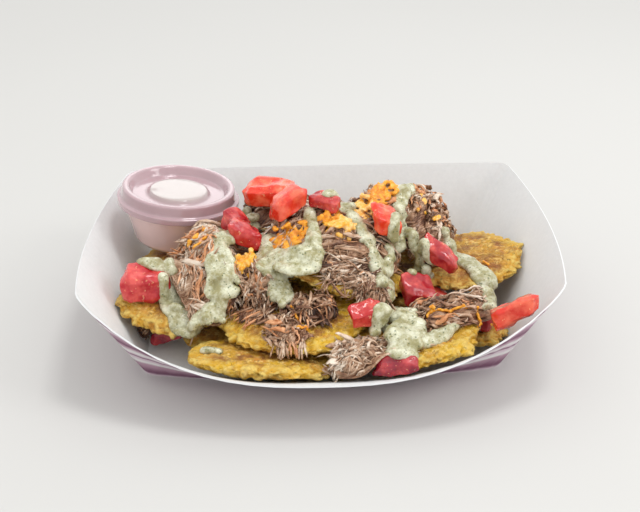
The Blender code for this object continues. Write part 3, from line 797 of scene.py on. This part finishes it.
def make_cores(material):
    """Each heap's solid, sunk a little and fibrous: what its flakes and strands lie on."""
    cores = []
    for index, name in enumerate(MEAT):
        points, normals, triangles = worked(*node_surface(name), subdivision(2))
        middle, across, along = heap_frame(name)
        heap = MEAT[name]
        low, high = points[:, 2].min(), points[:, 2].max()
        u = (points - middle) @ across + 0.5 * points[:, 2]
        v = (points - middle) @ along
        drawn_out = np.column_stack([u, v / 4, points[:, 2] / 2])
        ridges = 1.8 * billow(drawn_out, 2.6, index + 400) + 3.4 * noise(points, 9.0, index + 430)
        up = smoothstep(-0.2, 0.4, normals[:, 2])
        points = points + normals * (up * (ridges - CORE_SINK))[:, None]
        share = (points[:, 2] - low) / (high - low)
        # Painted shade: the core is made darker than the flakes over it, where it shows in the gaps between
        # them, and darker in its grooves than on its ridges.
        tone = heap.foot_tone + (heap.top_tone - heap.foot_tone) * share - 0.26 + 0.1 * (ridges - 0.4)
        attributes = {"tone": tone, "orange": 0.0, "u": u, "v": v}
        piece(name + "_core", points, triangles, material, attributes, [name])
        cores.append((name, points, triangles))
    return cores


def spread_over(points, triangles, count, chance):
    """Random places on a surface, mostly where it faces up."""
    corners = points[triangles]
    cross = np.cross(corners[:, 1] - corners[:, 0], corners[:, 2] - corners[:, 0])
    area = np.linalg.norm(cross, axis=1)
    weight = area * smoothstep(-0.3, 0.2, cross[:, 2] / np.maximum(area, 1e-9))
    picked = chance.choice(len(triangles), count, p=weight / weight.sum())
    shares = chance.dirichlet((1, 1, 1), count)
    return np.einsum("nk,nkd->nd", shares, corners[picked])


def spilled(name, ground, chance):
    """Places beyond a heap where more of its meat lies."""
    starts = []
    for x, y, reach, count in SPILLS.get(name, ()):
        for _ in range(count):
            turn, share = chance.uniform(0, 2 * math.pi), math.sqrt(chance.random())
            x0, y0 = x + reach * share * math.cos(turn), y + reach * share * math.sin(turn)
            starts.append((x0, y0, ground.height(x0, y0)))
    return np.array(starts).reshape(-1, 3)


def walk(ground, here, way, length, rings, pull, stray, chance):
    """A path over the surface, as its points and the surface's normals, or nothing if it meets a tomato."""
    places, normals = [], []
    step = length / (rings - 1)
    bend = chance.normal(0, stray)
    for _ in range(rings):
        hit, normal, owner = ground.nearest(here)
        if owner.startswith("tomato"):
            return None
        places.append(hit)
        normals.append(normal)
        side = np.cross(normal, way)
        way = math.cos(bend) * way + math.sin(bend) * side - pull * step * 0.12 * UP
        way = unit(way - (way @ normal) * normal)
        bend += chance.normal(0, stray * 0.6)
        here = hit + way * step
    return np.array(places), np.array(normals)


def fall(ground, here, way, length, rings, chance):
    """A path that slides off an edge and hangs."""
    places, normals = [], []
    step = length / (rings - 1)
    for _ in range(rings):
        hit, normal, _name = ground.nearest(here)
        if (here - hit) @ normal < CLEAR_OF_GROUND:
            here = hit + CLEAR_OF_GROUND * normal
        places.append(here)
        normals.append(normal)
        way = unit(way - 0.35 * UP + chance.normal(0, 0.12, 3))
        here = here + way * step
    return np.array(places), np.array(normals)


def rods(paths, normals, wide, thick, sides, ends, ridges=None):
    """Tapered, flattened rods along many paths of the same number of rings."""
    count, rings, _ = paths.shape
    along = unit(np.gradient(paths, axis=1))
    side = unit(np.cross(along, normals))
    up = np.cross(side, along)
    t = np.linspace(0, 1, rings)[None, :, None]
    taper = np.clip(np.minimum(t / ends[:, None, :], (1 - t) / ends[:, None, ::-1]), 0.06, 1) ** 0.75
    around = np.arange(sides) * 2 * math.pi / sides
    a = wide[..., None] * taper * np.cos(around)
    b = thick[..., None] * taper * np.sin(around)
    if ridges is not None:
        a = a * (1 + 0.2 * ridges)
        b = b * (1 + 0.5 * ridges)
    points = paths[:, :, None] + a[..., None] * side[:, :, None] + b[..., None] * up[:, :, None]
    k = np.arange(sides)
    k2 = (k + 1) % sides
    rows = np.arange(rings - 1)[:, None] * sides
    one = np.stack([rows + k, rows + k2, rows + sides + k2], -1).reshape(-1, 3)
    two = np.stack([rows + k, rows + sides + k2, rows + sides + k], -1).reshape(-1, 3)
    fan = np.array([(0, j + 1, j) for j in range(1, sides - 1)])
    cap = fan[:, ::-1] + (rings - 1) * sides
    single = np.concatenate([one, two, fan, cap])
    triangles = (single[None] + (np.arange(count) * rings * sides)[:, None, None]).reshape(-1, 3)
    return points.reshape(-1, 3), triangles


def level_tone(name, points):
    """How pale the meat is here, by height in its heap."""
    low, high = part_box(name)
    heap = MEAT[name]
    share = np.clip((points[:, 2] * MM - low[2]) / (high[2] - low[2]), 0, 1)
    level = heap.foot_tone + (heap.top_tone - heap.foot_tone) * share
    return level + 0.22 * noise(points, TONE_LENGTH, 77)


def smoothed(paths):
    """Paths with their inner points drawn towards their neighbours."""
    paths[..., 1:-1, :] = (paths[..., :-2, :] + 2 * paths[..., 1:-1, :] + paths[..., 2:, :]) / 4
    return paths


def flake_paths(ground, starts, turns, heap, chance):
    """The numbers, paths and normals of the flakes that meet no tomato."""
    kept, paths, normals = [], [], []
    for k, (start, turn) in enumerate(zip(starts, turns)):
        way = np.array([math.cos(turn), math.sin(turn), 0.0])
        length = heap.longest * chance.uniform(0.45, 1.05)
        start = start - way * length / 2 + chance.normal(0, 1.6, 3)
        path = walk(ground, start, way, length, FLAKE_RINGS, 0.2 * heap.pull, 0.05, chance)
        if path is None:
            continue
        here, facing = path
        curl = np.linspace(0, 1, FLAKE_RINGS) ** 2 * chance.uniform(-0.5, 3.4)
        lift = (k % CHUNK) * CHUNK_LIFT + chance.uniform(-0.5, 0.9)
        lift = lift + (curl if chance.random() < 0.5 else curl[::-1])
        kept.append(k)
        paths.append(here + facing * lift[:, None])
        normals.append(facing)
    return np.array(kept), smoothed(np.array(paths)), unit(np.array(normals))


def make_flakes(ground, cores, material):
    """Torn pieces of meat, a few millimetres wide and ridged by their fibres."""
    parts = []
    for index, (name, points, triangles) in enumerate(cores):
        heap = MEAT[name]
        chance = np.random.default_rng(500 + index)
        chunks = heap.flakes // CHUNK
        starts = spread_over(points, triangles, chunks, chance)
        starts = np.vstack([starts, spilled(name, ground, chance)])
        own = chunks * CHUNK  # the rest are spilled, and thinner
        starts = np.repeat(starts, CHUNK, axis=0)
        count = len(starts)
        chunks = count // CHUNK
        turns = np.repeat(np.radians(heap.flake_way + chance.normal(0, FLAKE_STRAY, chunks)), CHUNK)
        turns = turns + chance.normal(0, 0.15, count)
        kept, paths, normals = flake_paths(ground, starts, turns, heap, chance)

        flakes = len(kept)
        wide = 0.45 + 1.5 * chance.random((flakes, 1)) ** 2
        wide = wide * chance.uniform(0.85, 1.15, (flakes, FLAKE_RINGS))
        wide[kept >= own] *= 0.5
        thick = chance.uniform(0.4, 0.8, (flakes, 1)) * np.ones((1, FLAKE_RINGS))
        ends = chance.uniform(0.12, 0.5, (flakes, FLAKE_SIDES))
        wander = chance.normal(0, 0.25, (flakes, FLAKE_RINGS, FLAKE_SIDES)).cumsum(1)
        ridges = np.clip(chance.normal(0, 0.6, (flakes, 1, FLAKE_SIDES)) + wander, -1, 1)
        made, made_triangles = rods(paths, normals, wide, thick, FLAKE_SIDES, ends, ridges)

        base = level_tone(name, starts) + np.repeat(chance.normal(0, 0.17, chunks), CHUNK)
        base = (base + chance.normal(0, 0.07, count))[kept]
        tone = base[:, None, None] + 0.1 * ridges
        warm = np.repeat(np.where(chance.random(chunks) < heap.orange, 0.85, 0.0), CHUNK)[kept]
        around = np.arange(FLAKE_SIDES)[None, None] * (2 * wide[..., None] / FLAKE_SIDES)
        u = around + chance.uniform(0, 500, flakes)[:, None, None]
        v = np.linspace(0, 1, FLAKE_RINGS)[None, :, None] * 14 + 0 * u
        warm = np.repeat(warm, FLAKE_RINGS * FLAKE_SIDES)
        attributes = {"tone": tone.ravel(), "orange": warm, "u": u.ravel(), "v": v.ravel()}
        parts.append((made, made_triangles, attributes))
    made = joined(parts)
    piece("meat_flakes", made[0], made[1], material, made[2])
    return made[:2]


def strand_path(ground, start, middle, way, length, pull, hangs, chance):
    """The path and normals of one strand of a bundle, or nothing if it meets a tomato."""
    spot = start + chance.normal(0, 0.9, 3)
    way = way + chance.normal(0, 0.16, 3)
    length = length * chance.uniform(0.6, 1.1)
    if hangs:
        out = 0.45 * unit((start - middle) * (1, 1, 0)) + 0.6 * way - 0.5 * UP
        return fall(ground, spot, out, length, STRAND_RINGS, chance)
    return walk(ground, spot, way, length, STRAND_RINGS, pull, 0.07, chance)


def make_strands(ground, cores):
    """Loose strands in small bundles over the flakes."""
    made = []
    for index, (name, points, triangles) in enumerate(cores):
        heap = MEAT[name]
        chance = np.random.default_rng(700 + index)
        starts = spread_over(points, triangles, heap.strands // BUNDLE, chance)
        own = len(starts)  # the rest are spilled, and lie more loosely
        starts = np.vstack([starts, spilled(name, ground, chance)])
        tones = level_tone(name, starts) + chance.normal(0.06, 0.14, len(starts))
        low, high = (np.array(corner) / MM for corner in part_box(name))
        for number, (start, tone) in enumerate(zip(starts, tones)):
            hangs = start[2] < low[2] + HANGING_SHARE * (high[2] - low[2])
            stray = STRAND_STRAY if number < own else SPILLED_STRAY
            turn = math.radians(heap.strand_way + chance.normal(0, stray))
            way = np.array([math.cos(turn), math.sin(turn), 0.0]) * chance.choice([-1, 1])
            if way[1] > 0 and chance.random() < heap.pull:
                way = -way
            warm = 0.7 if chance.random() < heap.orange * 0.6 else 0.0
            length = heap.longest * chance.uniform(0.4, 1.0)
            for _ in range(BUNDLE):
                path = strand_path(ground, start, (low + high) / 2, way, length, heap.pull, hangs, chance)
                if path is None:
                    continue
                here, facing = path
                radius = chance.uniform(0.24, 0.52)
                bow = np.linspace(-1, 1, STRAND_RINGS) ** 2
                lift = radius + chance.uniform(-0.2, 0.6) + chance.uniform(-0.3, 0.9) * bow
                here = smoothed(here + facing * lift[:, None])
                made.append(Strand(here, facing, radius, tone + chance.normal(0, 0.08), warm))
    return made


def shows(strand, sauce, tray):
    """Whether a strand stays clear of the sauce and of the tray's outside."""
    if any(tray.nearest(point)[1][2] < 0 for point in strand.path):
        return False
    over = 0
    for point in strand.path:
        hit, normal, _ = sauce.nearest(point)
        away = point - hit
        over += (away @ normal > -0.3) and (away @ away < NEAR_SAUCE ** 2)
    return over < COVERED_RINGS


def show_strands(strands, sauce, tray, material):
    """The strands as one mesh, without those that would lie on the sauce or run through the tray."""
    kept = [strand for strand in strands if shows(strand, sauce, tray)]
    chance = np.random.default_rng(800)
    count = len(kept)
    paths = np.array([strand.path for strand in kept])
    normals = unit(np.array([strand.normals for strand in kept]))
    radii = np.array([strand.radius for strand in kept])[:, None]
    radii = radii * chance.uniform(0.8, 1.2, (count, STRAND_RINGS))
    ends = chance.uniform(0.08, 0.3, (count, STRAND_SIDES))
    points, triangles = rods(paths, normals, radii * 1.25, radii, STRAND_SIDES, ends)
    per = STRAND_RINGS * STRAND_SIDES
    attributes = {
        "tone": np.repeat([strand.tone for strand in kept], per),
        "orange": np.repeat([strand.orange for strand in kept], per),
        "u": np.repeat(chance.uniform(0, 500, count), per),
        "v": np.tile(np.repeat(np.linspace(0, 15, STRAND_RINGS), STRAND_SIDES), count),
    }
    piece("meat_strands", points, triangles, material, attributes)


# ---- sauce and cheese
def skin(drops, voxel, smoothing):
    """The points, normals and triangles of the one skin that drops melt into."""
    work = bmesh.new()
    bmesh.ops.create_icosphere(work, subdivisions=2, radius=1.0)
    ball = np.array([v.co for v in work.verts])
    ball_triangles = np.array([[v.index for v in f.verts] for f in work.faces])
    work.free()
    places, normals, wide, thick, _tones = (np.array(values) for values in zip(*drops))
    normals = unit(normals)
    other = np.where(abs(normals[:, :1]) < 0.8, [[1.0, 0, 0]], [[0, 1.0, 0]])
    east = unit(np.cross(normals, other))
    north = np.cross(normals, east)
    points = (
        places[:, None]
        + ball[None, :, :1] * east[:, None] * wide[:, None, None]
        + ball[None, :, 1:2] * north[:, None] * wide[:, None, None]
        + ball[None, :, 2:] * normals[:, None] * thick[:, None, None]
    ).reshape(-1, 3)
    starts = np.arange(len(normals)) * len(ball)
    triangles = (ball_triangles[None] + starts[:, None, None]).reshape(-1, 3)
    melt = "REMESH", {"mode": "VOXEL", "voxel_size": voxel * MM}
    smooth = "SMOOTH", {"factor": 0.5, "iterations": smoothing}
    return worked(points, triangles, melt, smooth)


def draped(ground, controls):
    """A line over the top of things, from points of x, y and perhaps a width: x, y, z and the rest."""
    line = curved(controls)
    heights = np.array([ground.height(x, y) for x, y in line[:, :2]])
    heights = np.where(np.isnan(heights), np.nanmin(heights), heights)
    return resampled(np.column_stack([line[:, :2], heights, line[:, 2:]]), DROP_STEP)


def bridged(heights, reach):
    """Heights with their narrow dips filled, as a thick stream fills them."""
    grown = [heights[max(k - reach, 0):k + reach + 1].max() for k in range(len(heights))]
    return np.array([min(grown[max(k - reach, 0):k + reach + 1]) for k in range(len(grown))])


def make_sauce(ground, material):
    drops = []
    chance = np.random.default_rng(900)
    for name, controls in SAUCE.items():
        path = draped(ground, controls)
        path[:, 2] = bridged(path[:, 2], BRIDGE_REACH)
        ways = unit(np.gradient(path[:, :3], axis=0))
        for k, (x, y, z, width) in enumerate(path):
            width *= 1 + 0.14 * math.sin(k * 0.28 + len(name))
            side = unit(np.cross(ways[k], UP))
            reach = max(width / 2 - 0.8 * DROP_RADIUS, 0)
            across = max(int(width / DROP_SPACING), 1)
            for j in np.linspace(-1, 1, across) if across > 1 else (0.0,):
                spot = np.array([x, y, z]) + side * j * reach + chance.normal(0, 0.12, 3)
                hit, normal, owner = ground.nearest(spot)
                if owner in BARE:
                    continue
                place = hit + normal * 0.4
                if np.linalg.norm(place - spot) > FAR_DOWN:
                    place, normal = spot, unit(np.array([0, -0.5, 1.0]))
                radius = DROP_RADIUS * (0.72 + 0.25 * (1 - abs(j))) * min(1, width / 4)
                thick = 1.6 - 0.6 * abs(j) + chance.uniform(-0.2, 0.4)
                drops.append(Drop(place, normal, radius, thick))
    points, normals, triangles = skin(drops, SAUCE_VOXEL, SAUCE_SMOOTHING)
    swell = 0.6 + 0.4 * noise(points, 6.0, 911) + 0.15 * noise(points, 2.2, 912)
    points = points + normals * swell[:, None]
    piece("herb_sauce", points, triangles, material)
    return points, triangles


def make_cheese(ground, material):
    drops = []
    chance = np.random.default_rng(950)
    for x, y, reach, count, tone in CHEESE:
        for _ in range(count):
            angle = chance.uniform(0, 2 * math.pi)
            r = reach * math.sqrt(chance.random())
            x0, y0 = x + r * math.cos(angle), y + r * math.sin(angle)
            here = np.array([x0, y0, ground.height(x0, y0)])
            if np.isnan(here[2]):
                continue
            way = unit(chance.normal(0, 1, 3) * (1, 1, 0.1))
            wide = chance.uniform(0.9, 1.9)
            for _ in range(int(chance.uniform(2, 6))):
                hit, normal, owner = ground.nearest(here)
                if owner.startswith("tomato"):
                    break
                place = hit + normal * chance.uniform(-0.2, 0.5)
                drops.append(Drop(place, normal, wide, chance.uniform(0.5, 0.9), tone))
                way = unit(way - (way @ normal) * normal + chance.normal(0, 0.2, 3))
                here = hit + way * DROP_STEP
    for controls in LOOSE_CHEESE:
        for x, y, z in draped(ground, controls):
            hit, normal, _owner = ground.nearest((x, y, z))
            drops.append(Drop(hit + normal * 0.8, normal, 0.9, 0.9, 0.3))
    points, _normals, triangles = skin(drops, CHEESE_VOXEL, CHEESE_SMOOTHING)
    piece("melted_cheese", points, triangles, material, {"tone": nearest_tones(points, drops)})


def nearest_tones(points, drops):
    """Each point's tone, from the nearest drop."""
    tree = KDTree(len(drops))
    for k, drop in enumerate(drops):
        tree.insert(drop.place, k)
    tree.balance()
    return np.array([drops[tree.find(point)[1]].tone for point in points])


# ---- everything
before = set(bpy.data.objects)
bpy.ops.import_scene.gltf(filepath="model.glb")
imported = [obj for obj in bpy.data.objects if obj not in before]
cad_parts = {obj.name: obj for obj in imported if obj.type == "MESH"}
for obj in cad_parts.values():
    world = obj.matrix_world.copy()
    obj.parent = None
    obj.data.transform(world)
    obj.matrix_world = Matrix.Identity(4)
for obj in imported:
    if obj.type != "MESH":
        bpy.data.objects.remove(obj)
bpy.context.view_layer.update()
make_camera(bpy.context.scene)
make_light(bpy.context.scene)
make_floor(bpy.context.scene)
recolour("tray", tray_material())
recolour("cup_dip", dip_material())
make_round("sauce_cup", plastic_material("clear_cup", (0.97, 0.72, 0.69), 0.2))
make_round("cup_lid", plastic_material("clear_lid", (0.64, 0.44, 0.47), 0.35))
make_slices(slice_material())
make_tomatoes(tomato_material())
meat = meat_material()
cores = make_cores(meat)
solids = [(n, *node_surface(n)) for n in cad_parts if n.startswith(("toston", "tomato"))]
flakes = make_flakes(Ground(cores + solids), cores, meat)
ground = Ground(cores + solids + [("flakes", *flakes)])
tray = Ground([("tray", *node_surface("tray"))])
strands = make_strands(ground, cores)
make_cheese(ground, cheese_material())
sauce = make_sauce(ground, sauce_material())
show_strands(strands, Ground([("sauce", *sauce)]), tray, meat)
